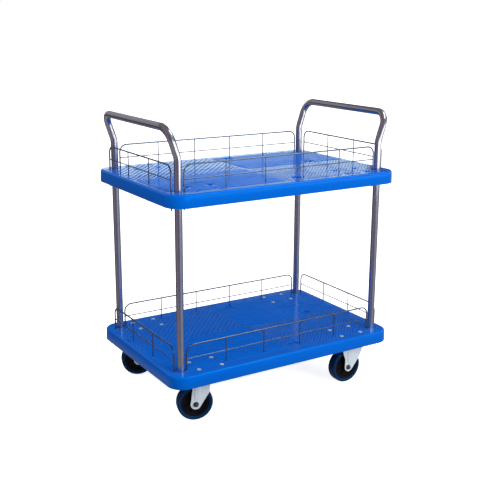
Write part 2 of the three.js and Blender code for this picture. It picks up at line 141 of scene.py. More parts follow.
# ---- fasteners
BOLT_RADIUS = 4 * MM
BOLT_HEAD = 8 * MM
BOLT_HEAD_HEIGHT = 2.7 * MM
BOLT_NUT = (5.6 * MM, 12.6 * MM, 4.1 * MM)    # height, width across flats, bore
BOLT_WASHER = (1.1 * MM, 7.6 * MM, 4.2 * MM)  # thickness, radius, bore
RAIL_NUT = (4.5 * MM, 9 * MM, 2.7 * MM)
RAIL_WASHER = (1 * MM, 6 * MM, 2.75 * MM)
COLLAR_RADIUS = 17 * MM
COLLAR_CHAMFER = 1 * MM
FOOT_HEX = 7.4 * MM           # corner radius of the foot bolt's head
FOOT_WASHER = 9 * MM
KINGPIN_RADIUS = 6 * MM
KINGPIN_HEAD = 10 * MM


# ======== mesh building
class Shape:
    """The vertices and faces of one piece, gathered part by part."""

    def __init__(self):
        self.points = []
        self.faces = []

    def add(self, points, faces):
        """Adds points, and faces that count from the first of them."""
        start = len(self.points)
        self.points.extend(Vector(p) for p in points)
        self.faces.extend([start + i for i in face] for face in faces)

    def grid(self, loops):
        """Joins closed loops of equal length, one after another."""
        start = len(self.points)
        size = len(loops[0])
        self.points.extend(Vector(p) for loop in loops for p in loop)
        for row in range(len(loops) - 1):
            for i in range(size):
                j = (i + 1) % size
                a = start + row * size
                self.faces.append([a + i, a + j, a + size + j, a + size + i])
        return start

    def cap(self, start, size, flip=False):
        """Closes a loop of points with one face."""
        face = [start + i for i in range(size)]
        self.faces.append(face[::-1] if flip else face)

    def block(self, low, high):
        points = [(x, y, z) for z in (low[2], high[2]) for y in (low[1], high[1])
                  for x in (low[0], high[0])]
        faces = [(0, 2, 3, 1), (4, 5, 7, 6), (0, 1, 5, 4), (2, 6, 7, 3), (0, 4, 6, 2), (1, 3, 7, 5)]
        self.add(points, faces)

    def sweep(self, route, radius, sides):
        """A round bar along the route."""
        loops = []
        for place, (side, up) in zip(route, carried_frames(route)):
            loops.append([place + radius * (math.cos(TAU * k / sides) * side
                                            + math.sin(TAU * k / sides) * up)
                          for k in range(sides)])
        start = self.grid(loops)
        self.cap(start, sides, flip=True)
        self.cap(start + (len(loops) - 1) * sides, sides)
        return self

    def turned(self, profile, place, axis="Z", sides=48, closed=False):
        """A lathe shape: (radius, height) points about the axis through place."""
        turn = AXIS_TURN[axis]
        place = Vector(place)
        loops = []
        for radius, height in profile:
            loops.append([place + turn @ Vector((radius * math.cos(TAU * k / sides),
                                                 radius * math.sin(TAU * k / sides), height))
                          for k in range(sides)])
        if closed:
            loops.append(loops[0])
        start = self.grid(loops)
        if not closed:
            self.cap(start, sides, flip=True)
            self.cap(start + (len(loops) - 1) * sides, sides)
        return self

    def moved(self, matrix):
        self.points = [matrix @ p for p in self.points]
        return self


SAME_PLACE = 1e-6
NO_LENGTH = 1e-7
AXIS_TURN = {
    "Z": Matrix.Identity(3),
    "Y": Matrix.Rotation(math.radians(-90), 3, "X"),
}


def carried_frames(route):
    """A side and an up direction at each point, carried along without twist."""
    along = []
    for i in range(len(route)):
        before = route[max(i - 1, 0)]
        after = route[min(i + 1, len(route) - 1)]
        along.append((after - before).normalized())
    side = along[0].orthogonal().normalized()
    frames = []
    for i, direction in enumerate(along):
        if i:
            side = along[i - 1].rotation_difference(direction) @ side
        side = (side - side.dot(direction) * direction).normalized()
        frames.append((side, direction.cross(side)))
    return frames


def bent_route(corners, radii, step=math.radians(5)):
    """Straight stretches between the corners, with a round bend at each inner corner."""
    corners = [Vector(c) for c in corners]
    route = [corners[0]]
    for before, corner, after, radius in zip(corners, corners[1:], corners[2:], radii):
        arriving = (corner - before).normalized()
        leaving = (after - corner).normalized()
        turn = arriving.angle(leaving)
        start = corner - arriving * radius * math.tan(turn / 2)
        inward = (leaving - leaving.dot(arriving) * arriving).normalized()
        steps = max(2, round(turn / step))
        for i in range(steps + 1):
            angle = turn * i / steps
            route.append(start + radius * (math.sin(angle) * arriving
                                           + (1 - math.cos(angle)) * inward))
    route.append(corners[-1])
    return route


def make_piece(name, shape, material, body, replaces=(), sharp=30, bevel=0.0):
    """Turns a shape into a named object that rides on its body. Edges over sharp degrees stay crisp."""
    mesh = bpy.data.meshes.new(name)
    mesh.from_pydata([tuple(p) for p in shape.points], [], shape.faces)
    work = bmesh.new()
    work.from_mesh(mesh)
    bmesh.ops.remove_doubles(work, verts=work.verts, dist=SAME_PLACE)
    bmesh.ops.dissolve_degenerate(work, edges=work.edges, dist=NO_LENGTH)
    bmesh.ops.recalc_face_normals(work, faces=work.faces)
    work.to_mesh(mesh)
    work.free()
    mesh.shade_smooth()
    mesh.set_sharp_from_angle(angle=math.radians(sharp))
    mesh.materials.append(material)
    piece = bpy.data.objects.new(name, mesh)
    bpy.context.scene.collection.objects.link(piece)
    if bevel:
        soften(piece, bevel)
    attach(piece, body)
    if replaces:
        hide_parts(*replaces)


def soften(piece, width):
    """Rounds the piece's hard edges a little and keeps its flat faces flat."""
    modifier = piece.modifiers.new("soft_edges", "BEVEL")
    modifier.width = width
    modifier.segments = 2
    modifier.limit_method = "ANGLE"
    modifier.angle_limit = math.radians(40)
    modifier.harden_normals = True


# ======== materials
MIX_FACTOR, MIX_FIRST, MIX_SECOND, MIX_RESULT = 0, 6, 7, 2    # a Mix node's sockets for colours
NOISE_LOW, NOISE_HIGH = 0.3, 0.7                              # most of the noise lies between these


class Recipe:
    """A Principled material with helpers for its texture nodes."""

    def __init__(self, name, color, roughness, metallic=0.0, specular=0.5):
        self.material = bpy.data.materials.new(name)
        self.material.use_nodes = True
        self.tree = self.material.node_tree
        self.shader = self.tree.nodes["Principled BSDF"]
        self.shader.inputs["Base Color"].default_value = (*color, 1)
        self.shader.inputs["Roughness"].default_value = roughness
        self.shader.inputs["Metallic"].default_value = metallic
        self.shader.inputs["Specular IOR Level"].default_value = specular
        self.color = color
        self.place = self.tree.nodes.new("ShaderNodeTexCoord").outputs["Object"]

    def node(self, kind, **values):
        node = self.tree.nodes.new(kind)
        for key, value in values.items():
            if key in node.inputs:
                node.inputs[key].default_value = value
            else:
                setattr(node, key, value)
        return node

    def link(self, output, target):
        self.tree.links.new(output, target)

    def noise(self, scale, detail=3.0, stretch=(1, 1, 1)):
        """Noise over the object's own coordinates. stretch squeezes it along an axis."""
        mapping = self.node("ShaderNodeMapping")
        mapping.inputs["Scale"].default_value = stretch
        self.link(self.place, mapping.inputs["Vector"])
        noise = self.node("ShaderNodeTexNoise", Scale=scale, Detail=detail)
        self.link(mapping.outputs["Vector"], noise.inputs["Vector"])
        return noise.outputs["Fac"]

    def ranged(self, value, low, high):
        """Noise spread over the range from low to high."""
        node = self.node("ShaderNodeMapRange")
        node.inputs["From Min"].default_value = NOISE_LOW
        node.inputs["From Max"].default_value = NOISE_HIGH
        node.inputs["To Min"].default_value = low
        node.inputs["To Max"].default_value = high
        self.link(value, node.inputs["Value"])
        return node.outputs["Result"]

    def vary_color(self, value, other, share=1.0):
        """Drifts the base colour towards another colour."""
        mix = self.node("ShaderNodeMix", data_type="RGBA")
        self.link(self.ranged(value, 0.0, share), mix.inputs[MIX_FACTOR])
        mix.inputs[MIX_FIRST].default_value = (*self.color, 1)
        mix.inputs[MIX_SECOND].default_value = (*other, 1)
        self.link(mix.outputs[MIX_RESULT], self.shader.inputs["Base Color"])

    def vary_roughness(self, value, low, high):
        self.link(self.ranged(value, low, high), self.shader.inputs["Roughness"])

    def bump(self, value, depth, strength=1.0):
        """Fine relief, on top of any that the shader already has."""
        bump = self.node("ShaderNodeBump", Distance=depth, Strength=strength)
        self.link(value, bump.inputs["Height"])
        last = self.shader.inputs["Normal"]
        if last.is_linked:
            self.link(last.links[0].from_socket, bump.inputs["Normal"])
        self.link(bump.outputs["Normal"], last)


def deck_plastic():
    recipe = Recipe("deck_plastic", (0.0005, 0.100, 0.50), 0.2)
    recipe.shader.inputs["Specular Tint"].default_value = (0.0, 0.40, 1.0, 1)
    recipe.vary_color(recipe.noise(6, 2), (0.0004, 0.092, 0.475), 0.6)
    recipe.vary_roughness(recipe.noise(35, 4), 0.10, 0.16)
    recipe.bump(recipe.noise(900, 2), 0.00005, 0.5)
    recipe.bump(recipe.noise(14, 2), 0.0006, 0.25)
    return recipe.material


def stainless_tube():
    recipe = Recipe("stainless_tube", (0.61, 0.58, 0.60), 0.2, metallic=1.0)
    recipe.vary_color(recipe.noise(40, 3), (0.53, 0.50, 0.53), 0.6)
    recipe.vary_roughness(recipe.noise(260, 3, (1, 1, 0.04)), 0.14, 0.26)
    recipe.bump(recipe.noise(1500, 2, (1, 1, 0.02)), 0.00002, 0.3)
    return recipe.material


def chrome_wire():
    recipe = Recipe("chrome_wire", (0.20, 0.235, 0.29), 0.1, metallic=1.0)
    recipe.vary_color(recipe.noise(60, 3), (0.15, 0.18, 0.235), 0.6)
    recipe.vary_roughness(recipe.noise(120, 3), 0.06, 0.16)
    recipe.bump(recipe.noise(500, 2), 0.00002, 0.3)
    return recipe.material


def zinc_steel():
    recipe = Recipe("zinc_steel", (0.77, 0.85, 0.90), 0.34, metallic=0.4)
    recipe.vary_color(recipe.noise(90, 4), (0.68, 0.75, 0.81), 0.7)
    recipe.vary_roughness(recipe.noise(160, 3), 0.28, 0.46)
    recipe.bump(recipe.noise(700, 2), 0.00004, 0.4)
    return recipe.material


def bolt_steel_painted_reflection():
    # The bolts' own steel colour, tinted strongly blue: a painted reflection of the blue deck round the
    # bolt heads.
    recipe = Recipe("bolt_steel_painted_reflection", (0.46, 0.62, 0.82), 0.26, metallic=0.55)
    recipe.vary_color(recipe.noise(90, 4), (0.38, 0.54, 0.74), 0.7)
    recipe.vary_roughness(recipe.noise(160, 3), 0.2, 0.34)
    recipe.bump(recipe.noise(700, 2), 0.00004, 0.4)
    return recipe.material


def axle_steel():
    recipe = Recipe("axle_steel", (0.15, 0.16, 0.18), 0.3, metallic=0.9)
    recipe.vary_color(recipe.noise(90, 4), (0.10, 0.11, 0.13), 0.7)
    recipe.vary_roughness(recipe.noise(160, 3), 0.24, 0.4)
    recipe.bump(recipe.noise(700, 2), 0.00004, 0.4)
    return recipe.material


def tyre_rubber():
    recipe = Recipe("tyre_rubber", (0.001, 0.016, 0.056), 0.42, specular=0.4)
    recipe.shader.inputs["Specular Tint"].default_value = (0.25, 0.5, 1.0, 1)
    recipe.vary_color(recipe.noise(30, 3), (0.002, 0.024, 0.082), 0.7)
    recipe.vary_roughness(recipe.noise(80, 4), 0.36, 0.55)
    recipe.bump(recipe.noise(600, 3), 0.00008, 0.5)
    return recipe.material


def hub_plastic():
    recipe = Recipe("hub_plastic", (0.0035, 0.003, 0.0035), 0.42, specular=0.16)
    recipe.vary_roughness(recipe.noise(60, 3), 0.33, 0.5)
    recipe.bump(recipe.noise(500, 2), 0.00006, 0.4)
    return recipe.material


DECK = deck_plastic()
TUBE = stainless_tube()
CHROME = chrome_wire()
ZINC = zinc_steel()
BOLT_PAINTED_REFLECTION = bolt_steel_painted_reflection()
AXLE = axle_steel()
RUBBER = tyre_rubber()
HUB = hub_plastic()


# ======== places in the frame
def centre(node):
    low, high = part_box(node)
    return (low + high) / 2


def mirrored(x, y):
    return [(-x, -y), (x, -y), (x, y), (-x, y)]


frame_low, frame_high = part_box("right_handle_frame")
POST_X = frame_low.x + TUBE_RADIUS
POST_Y = frame_high.y - TUBE_RADIUS
POST_FOOT = frame_low.z
BAR_X = frame_high.x - TUBE_RADIUS
BAR_Z = frame_high.z - TUBE_RADIUS
POSTS = mirrored(POST_X, POST_Y)

LONG_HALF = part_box("lower_front_rail")[1].x - WIRE
LONG_OFFSET = abs(centre("lower_front_rail").y)
SHORT_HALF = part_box("lower_right_rail")[1].y - WIRE
SHORT_OFFSET = centre("lower_right_rail").x
RAIL_FEET = mirrored(LONG_HALF, LONG_OFFSET) + mirrored(SHORT_OFFSET, SHORT_HALF)

bolt_low, bolt_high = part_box("rigid_front_axle_bolt")
AXLE_HEAD_END = bolt_high.y - centre("rigid_front_tyre").y
AXLE_NUT_END = centre("rigid_front_tyre").y - bolt_low.y

CASTER_NAMES = [f"{kind}_{row}" for kind in ("swivel", "rigid") for row in ("front", "rear")]
CORNERS = ("left_front", "right_front", "right_rear", "left_rear")
BOLTS_BY_CASTER = [[centre(f"{name}_bolt_{corner}").xy for corner in CORNERS]
                   for name in CASTER_NAMES]
CASTER_BOLTS = sum(BOLTS_BY_CASTER, [])
CASTER_PADS = [sum(bolts, Vector((0, 0))) / len(bolts) for bolts in BOLTS_BY_CASTER]


# ======== decks
def rounded_loop(half_x, half_y, radius, z):
    """A rounded rectangle's outline, the same number of points at any size."""
    loop = []
    for quarter, (sx, sy) in enumerate(((1, -1), (1, 1), (-1, 1), (-1, -1))):
        cx, cy = sx * (half_x - radius), sy * (half_y - radius)
        for i in range(CORNER_STEPS + 1):
            angle = (quarter - 1) * math.pi / 2 + (math.pi / 2) * i / CORNER_STEPS
            loop.append(Vector((cx + radius * math.cos(angle), cy + radius * math.sin(angle), z)))
    return loop


def circle(x, y, z, radius, sides):
    return [Vector((x + radius * math.cos(TAU * k / sides), y + radius * math.sin(TAU * k / sides), z))
            for k in range(sides)]


def fill_with_holes(shape, outline, holes, normal):
    """A flat face inside the outline, open at the holes."""
    work = bmesh.new()
    edges = []
    for loop in [outline, *holes]:
        ring = [work.verts.new(p) for p in loop]
        edges += [work.edges.new((ring[i], ring[(i + 1) % len(ring)])) for i in range(len(ring))]
    bmesh.ops.triangle_fill(work, use_beauty=True, edges=edges, normal=normal)
    work.verts.index_update()
    shape.add([v.co.copy() for v in work.verts], [[v.index for v in f.verts] for f in work.faces])
    work.free()


def in_field(x, y, half_x, half_y, keep_clear):
    """Whether a ridge may pass over this point of the deck's top."""
    if min(abs(x), abs(y)) < FIELD_MIDDLE:
        return False
    if abs(x) > half_x - FIELD_END or abs(y) > half_y - FIELD_SIDE:
        return False
    reach = DECK_CORNER - FIELD_END
    over_x = abs(x) - (half_x - DECK_CORNER)
    over_y = abs(y) - (half_y - DECK_CORNER)
    if over_x > 0 and over_y > 0 and math.hypot(over_x, over_y) > reach:
        return False
    return all(math.hypot(x - cx, y - cy) > r for cx, cy, r in keep_clear)


def ridge_runs(angle, pitch, quadrant, half_x, half_y, keep_clear):
    """The stretches of parallel ridges that fit one quarter of the top."""
    sx, sy = quadrant
    along = Vector((math.cos(angle), math.sin(angle)))
    across = Vector((-along.y, along.x))
    reach = math.hypot(half_x, half_y)
    step = 2 * MM
    runs = []
    for row in range(-int(reach / pitch), int(reach / pitch) + 1):
        base = across * (row + 0.5) * pitch
        first = None
        count = int(2 * reach / step)
        for i in range(count + 1):
            p = base + along * (i * step - reach)
            inside = (p.x * sx > 0 and p.y * sy > 0 and i < count
                      and in_field(p.x, p.y, half_x, half_y, keep_clear))
            if inside and first is None:
                first = p
            elif not inside and first is not None:
                last = p - along * step
                if (last - first).length > SHORTEST_RIDGE:
                    runs.append((first, last))
                first = None
    return runs


def add_ridge(shape, first, last, top, pitch):
    """One low ridge with sloping sides and ends, sunk a little into the top."""
    along = (last - first).normalized()
    across = Vector((-along.y, along.x))
    corners = []
    for width, pull, z in ((RIDGE_WIDTH * pitch / 2, 0, top - RIDGE_SINK),
                           (RIDGE_CREST * pitch / 2, RIDGE_HEIGHT * 1.5, top + RIDGE_HEIGHT)):
        for end, sign in ((first, 1), (last, -1)):
            for side in (-sign, sign):
                p = end + along * pull * sign + across * width * side
                corners.append((p.x, p.y, z))
    shape.add(corners, [(3, 2, 1, 0), (4, 5, 6, 7), (0, 1, 5, 4), (1, 2, 6, 5), (2, 3, 7, 6),
                        (3, 0, 4, 7)])


def add_tube(shape, x, y, z0, z1, outer, inner, sides=24):
    """An upright ring between two heights."""
    shape.turned([(inner, z0), (outer, z0), (outer, z1), (inner, z1)], (x, y, 0), sides=sides,
                 closed=True)


THROUGH_HOLES = ([(x, y, POST_HOLE, 40) for x, y in POSTS]
                 + [(x, y, RAIL_HOLE, 16) for x, y in RAIL_FEET])
TOP_HOLES = (THROUGH_HOLES + [(bolt.x, bolt.y, BOLT_RECESS, 32) for bolt in CASTER_BOLTS]
             + [(x, y, RECESS_RADIUS, 48) for x, y in RECESSES])
UNDER_HOLES = THROUGH_HOLES + [(bolt.x, bolt.y, BOLT_HOLE, 32) for bolt in CASTER_BOLTS]


def deck_piece(tier):
    """A deck: skirt, plate with its holes and recesses, ridges on top and ribs below."""
    node = f"{tier}_deck"
    low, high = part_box(node)
    surface = high.z - RIDGE_HEIGHT       # goods rest on the ridges' crests
    under = surface - DECK_PLATE
    shape = Shape()
    loops = [rounded_loop(high.x - inset, high.y - inset, DECK_CORNER - inset, z)
             for inset, z in skirt_profile(low.z, under, surface)]
    shape.grid(loops)
    fill_with_holes(shape, loops[-1], [circle(x, y, surface, r, n) for x, y, r, n in TOP_HOLES],
                    (0, 0, 1))
    fill_with_holes(shape, loops[0], [circle(x, y, under, r, n) for x, y, r, n in UNDER_HOLES],
                    (0, 0, -1))
    add_hole_walls(shape, surface, under, high.z - BOLT_RECESS_DEPTH)
    add_ridges(shape, high.x, high.y, surface)
    add_underside(shape, high, surface, under, tier == "lower")
    make_piece(f"{node}_moulding", shape, DECK, "root", [node], sharp=28)


def skirt_profile(foot, under, surface):
    """(inset, height) points from the inside of the skirt, round its lip, and up to the top."""
    lip = 1.2 * MM
    corner = 0.35 * MM
    profile = [(SKIRT_WALL + 0.5 * MM, under), (SKIRT_WALL, foot + lip), (SKIRT_WALL - lip, foot),
               (lip, foot), (corner, foot + corner), (0, foot + lip)]
    steps = 7
    for i in range(steps + 1):
        angle = math.pi / 2 * i / steps
        profile.append((SKIRT_DRAFT + DECK_EDGE * (1 - math.cos(angle)),
                        surface - DECK_EDGE * (1 - math.sin(angle))))
    return profile + [(SKIRT_DRAFT + DECK_EDGE + 1.5 * MM, surface)]


def add_hole_walls(shape, surface, under, bolt_seat):
    """The walls of the holes through the plate, and of the round recesses in its top."""
    for x, y, r, n in THROUGH_HOLES:
        shape.grid([circle(x, y, surface, r, n), circle(x, y, under, r, n)])
    for bolt in CASTER_BOLTS:
        steps = ((surface, BOLT_RECESS), (bolt_seat, BOLT_RECESS - 0.3 * MM), (bolt_seat, BOLT_HOLE),
                 (under, BOLT_HOLE))
        shape.grid([circle(bolt.x, bolt.y, z, r, 32) for z, r in steps])
    floor = surface - RECESS_DEPTH
    sides = 48
    for x, y in RECESSES:
        start = shape.grid([circle(x, y, surface, RECESS_RADIUS, sides),
                            circle(x, y, floor, RECESS_RADIUS - 1.5 * MM, sides)])
        shape.cap(start + sides, sides)
        shape.turned([(RECESS_BUTTON, floor - 0.5 * MM), (RECESS_BUTTON, surface - 1.2 * MM),
                      (RECESS_BUTTON - 1 * MM, surface - 0.6 * MM)], (x, y, 0), sides=24)


def add_ridges(shape, half_x, half_y, surface):
    """Anti-slip ridges: lengthways in two quarters of the top, diagonal in the other two."""
    keep_clear = [(x, y, r + RIDGE_CLEAR) for x, y, r, _ in TOP_HOLES]
    fields = (((-1, -1), 0.0, COARSE_PITCH), ((1, 1), 0.0, COARSE_PITCH),
              ((1, -1), RIDGE_ANGLE, FINE_PITCH), ((-1, 1), RIDGE_ANGLE, COARSE_PITCH))
    for quadrant, angle, pitch in fields:
        for first, last in ridge_runs(angle, pitch, quadrant, half_x, half_y, keep_clear):
            add_ridge(shape, first, last, surface, pitch)


def add_underside(shape, corner, surface, under, is_lower):
    """Ribs, caster pads, post bosses and rail bosses under the plate."""
    wall = UNDER_RIB / 2
    overlap = 1 * MM
    roof = under + overlap
    floor = surface - UNDER_RIB_DEPTH
    end_x, end_y = corner.x - SKIRT_WALL + overlap, corner.y - SKIRT_WALL + overlap
    for y in (-RIB_Y, 0, RIB_Y):
        shape.block((-end_x, y - wall, floor), (end_x, y + wall, roof))
    for x in (-RIB_X, 0, RIB_X):
        shape.block((x - wall, -end_y, floor), (x + wall, end_y, roof))
    plate_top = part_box("swivel_front_plate")[1].z
    deck_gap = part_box("upper_deck")[1].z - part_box("lower_deck")[1].z
    pad_floor = plate_top + GAP + (0 if is_lower else deck_gap)
    for pad in CASTER_PADS:
        for x in (-PAD_HALF_X, 0, PAD_HALF_X):
            shape.block((pad.x + x - wall, pad.y - PAD_HALF_Y, pad_floor),
                        (pad.x + x + wall, pad.y + PAD_HALF_Y, roof))
        for y in (-PAD_HALF_Y, 0, PAD_HALF_Y):
            shape.block((pad.x - PAD_HALF_X, pad.y + y - wall, pad_floor),
                        (pad.x + PAD_HALF_X, pad.y + y + wall, roof))
    for bolt in CASTER_BOLTS:
        add_tube(shape, bolt.x, bolt.y, pad_floor, roof, BOLT_BOSS, BOLT_HOLE)
    collar_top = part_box("left_front_post_collar")[1].z
    post_floor = POST_FOOT - GAP if is_lower else collar_top + GAP
    for x, y in POSTS:
        add_tube(shape, x, y, post_floor, roof, POST_BOSS, POST_HOLE, 40)
        if is_lower:
            add_tube(shape, x, y, plate_top + SOCKET_FLOOR, post_floor, POST_BOSS, BOLT_HOLE, 40)
    for x, y in RAIL_FEET:
        add_tube(shape, x, y, surface - RAIL_BOSS_DEPTH, roof, RAIL_BOSS, RAIL_HOLE)


deck_piece("lower")
deck_piece("upper")


# ======== handle frames
def handle_frame(side):
    """One bent tube: post, leaning leg, grip bar, and down again."""
    sign = -1 if side == "left" else 1
    corners = [(sign * POST_X, -POST_Y, POST_FOOT), (sign * POST_X, -POST_Y, KNEE_HEIGHT),
               (sign * BAR_X, -POST_Y, BAR_Z), (sign * BAR_X, POST_Y, BAR_Z),
               (sign * POST_X, POST_Y, KNEE_HEIGHT), (sign * POST_X, POST_Y, POST_FOOT)]
    route = bent_route(corners, [KNEE_RADIUS, GRIP_CORNER, GRIP_CORNER, KNEE_RADIUS])
    shape = Shape().sweep(route, TUBE_RADIUS, 40)
    make_piece(f"{side}_handle_tube", shape, TUBE, "root", [f"{side}_handle_frame"])


def post_collar(corner):
    """The collar on a post that carries the upper deck."""
    node = f"{corner}_post_collar"
    low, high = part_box(node)
    middle = centre(node)
    inner = TUBE_RADIUS + GAP
    outer, edge = COLLAR_RADIUS, COLLAR_CHAMFER
    shape = Shape().turned([(inner, low.z), (outer - edge, low.z), (outer, low.z + edge),
                            (outer, high.z - edge), (outer - edge, high.z), (inner, high.z)],
                           (middle.x, middle.y, 0), closed=True)
    make_piece(f"{corner}_collar", shape, ZINC, "root", [node])


def foot_bolt(corner):
    """The hexagon bolt, with its washer, that holds a post's foot in its socket."""
    node = f"{corner}_foot_bolt"
    low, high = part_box(node)
    place = (centre(node).x, centre(node).y, 0)
    shape = Shape()
    shape.turned([(6 * MM, low.z), (FOOT_HEX, low.z + 0.8 * MM), (FOOT_HEX, low.z + 5.3 * MM)],
                 place, sides=6)
    shape.turned([(FOOT_WASHER, low.z + 4.2 * MM), (FOOT_WASHER, low.z + 5.4 * MM)], place)
    shape.turned([(BOLT_RADIUS, low.z + 5 * MM), (BOLT_RADIUS, high.z)], place, sides=24)
    make_piece(f"{corner}_foot_screw", shape, ZINC, "root", [node])


handle_frame("left")
handle_frame("right")
for corner in CORNERS:
    post_collar(corner)
    foot_bolt(corner)


# ======== wire rails
def thread_profile(radius, z0, z1):
    """Ridges of a screw thread, as (radius, height) points."""
    turns = int((z1 - z0) / THREAD_PITCH)
    root = radius * THREAD_ROOT
    profile = [(radius * THREAD_TIP, z0)]
    for i in range(turns):
        z = z0 + (i + 0.2) * THREAD_PITCH
        profile += [(radius, z + 0.25 * THREAD_PITCH), (root, z + 0.75 * THREAD_PITCH)]
    return profile + [(root, z1)]


def hex_nut(shape, x, y, z0, height, across, bore):
    """A chamfered hexagon nut standing on z0."""
    r = across / math.sqrt(3)
    c = 0.12 * across
    shape.turned([(bore, z0), (r - c, z0), (r, z0 + c / 2), (r, z0 + height - c / 2),
                  (r - c, z0 + height), (bore, z0 + height)], (x, y, 0), sides=6, closed=True)


def washer(shape, x, y, z0, thick, radius, bore):
    """A flat washer lying on z0."""
    add_tube(shape, x, y, z0, z0 + thick, radius, bore, 32)


def rail_piece(tier, side):
    """A wire rail: outer wire, middle wire and uprights, with welds and threaded ends."""
    node = f"{tier}_{side}_rail"
    low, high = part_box(node)
    middle = (low + high) / 2
    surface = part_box(f"{tier}_deck")[1].z
    is_long = side in ("front", "rear")
    half = LONG_HALF if is_long else SHORT_HALF
    bays = LONG_BAYS if is_long else SHORT_BAYS
    along = Vector((1, 0, 0)) if is_long else Vector((0, 1, 0))
    base = Vector((middle.x, middle.y, 0))
    up = Vector((0, 0, 1))
    top = high.z - WIRE
    thread_top = low.z + THREAD_LENGTH

    mid = surface + RAIL_MIDDLE
    ends = (base - half * along, base + half * along)

    shape = Shape()
    corners = [ends[0] + up * thread_top, ends[0] + up * top, ends[1] + up * top,
               ends[1] + up * thread_top]
    shape.sweep(bent_route(corners, [RAIL_CORNER, RAIL_CORNER], math.radians(9)), WIRE, 16)
    shape.sweep([end + up * mid for end in ends], FINE_WIRE, 12)
    for bay in range(1, bays):
        foot = base + along * (2 * half * bay / bays - half)
        shape.sweep([foot + up * (surface - RIDGE_HEIGHT), foot + up * top], FINE_WIRE, 12)
        add_weld(shape, foot + up * mid, WELD_RADIUS)
        add_weld(shape, foot + up * (top - WIRE * 0.8), TOP_WELD_RADIUS)
    for end, inward in zip(ends, (along, -along)):
        add_weld(shape, end + inward * 1.2 * WIRE + up * mid, WELD_RADIUS)
        shape.turned(thread_profile(WIRE, low.z, thread_top + 0.5 * MM), end, sides=20)
    make_piece(f"{node}_wire", shape, CHROME, "root", [node], sharp=50)

    nuts = Shape()
    nut_top = surface - RAIL_BOSS_DEPTH - 0.1 * MM
    for end in ends:
        washer(nuts, end.x, end.y, nut_top - RAIL_WASHER[0], *RAIL_WASHER)
        hex_nut(nuts, end.x, end.y, nut_top - 5.6 * MM, *RAIL_NUT)
    make_piece(f"{node}_nuts", nuts, ZINC, "root")


def add_weld(shape, place, radius):
    """A small flattened bead where two wires meet."""
    rings = 6
    flatness = 0.8
    profile = [(radius * math.sin(math.pi * (i + 0.5) / rings) + 0.01 * MM,
                -radius * flatness * math.cos(math.pi * (i + 0.5) / rings)) for i in range(rings)]
    shape.turned(profile, place, sides=10)


for tier in ("lower", "upper"):
    for side in ("front", "rear", "left", "right"):
        rail_piece(tier, side)


# ======== casters
def tyre_profile():
    """Closed tyre section about its axle, as (radius, sideways) points."""
    middle = (WHEEL_RADIUS, 0)
    side = [(WHEEL_RADIUS - 0.1 * MM, 7 * MM)]
    steps = 6
    for i in range(steps + 1):
        angle = math.pi / 2 * i / steps
        side.append((WHEEL_RADIUS - 0.4 * MM - TYRE_EDGE * (1 - math.cos(angle)),
                     TYRE_HALF - TYRE_EDGE * (1 - math.sin(angle))))
    side += [(53.6 * MM, TYRE_HALF), (52.6 * MM, TYRE_HALF - 0.9 * MM),
             (51 * MM, TYRE_HALF - 1.1 * MM), (TYRE_SEAT, TYRE_HALF - 2 * MM)]
    return [(r, -y) for r, y in reversed(side)] + [middle] + side


def hub_profile():
    """Closed hub section: boss, thin web and rim, as (radius, sideways) points."""
    half = [(AXLE_BORE, HUB_HALF), (9 * MM, HUB_HALF), (12.4 * MM, HUB_HALF - 0.4 * MM),
            (13 * MM, HUB_HALF - 1 * MM), (13.6 * MM, 12 * MM), (15 * MM, 7 * MM), (17 * MM, 6 * MM),
            (37 * MM, 6 * MM), (39.6 * MM, 7 * MM), (41.4 * MM, 12 * MM), (43 * MM, 13.2 * MM),
            (48.2 * MM, 13.4 * MM), (49.5 * MM, 12.6 * MM)]
    return half + [(r, -y) for r, y in reversed(half)]


def add_hub_ribs(shape):
    """Low radial ribs on both sides of the hub's web."""
    root, crest = 5 * MM, 9.5 * MM
    inner, outer = 13 * MM, 40.5 * MM
    half = 1.4 * MM
    for side in (-1, 1):
        for k in range(HUB_RIBS):
            turn = Matrix.Rotation(TAU * (k + 0.5) / HUB_RIBS, 3, "Y")
            points = [turn @ Vector((x, side * y, z)) for y in (root, crest)
                      for z in (inner, outer) for x in (-half, half)]
            shape.add(points, [(0, 1, 3, 2), (4, 6, 7, 5), (0, 4, 5, 1), (2, 3, 7, 6), (0, 2, 6, 4),
                               (1, 5, 7, 3)])


def caster_matrix(name):
    """From a caster's own frame, its axle at the origin and its kingpin along +X, to the cart's."""
    axle = centre(f"{name}_tyre")
    turn = Matrix.Identity(4)
    if name.startswith("swivel"):
        ahead = centre(f"{name}_kingpin") - axle
        turn = Matrix.Rotation(math.atan2(ahead.y, ahead.x), 4, "Z")
    return Matrix.Translation(axle) @ turn


def wheel_pieces(name):
    """A tyre and its hub."""
    matrix = caster_matrix(name)
    body = f"{name}_wheel"
    tyre = Shape().turned(tyre_profile(), (0, 0, 0), "Y", 96, closed=True).moved(matrix)
    make_piece(f"{name}_rubber_tyre", tyre, RUBBER, body, [f"{name}_tyre"], sharp=40)
    hub = Shape().turned(hub_profile(), (0, 0, 0), "Y", 80, closed=True)
    add_hub_ribs(hub)
    hub.moved(matrix)
    make_piece(f"{name}_wheel_hub", hub, HUB, body, [f"{name}_hub"], sharp=32)


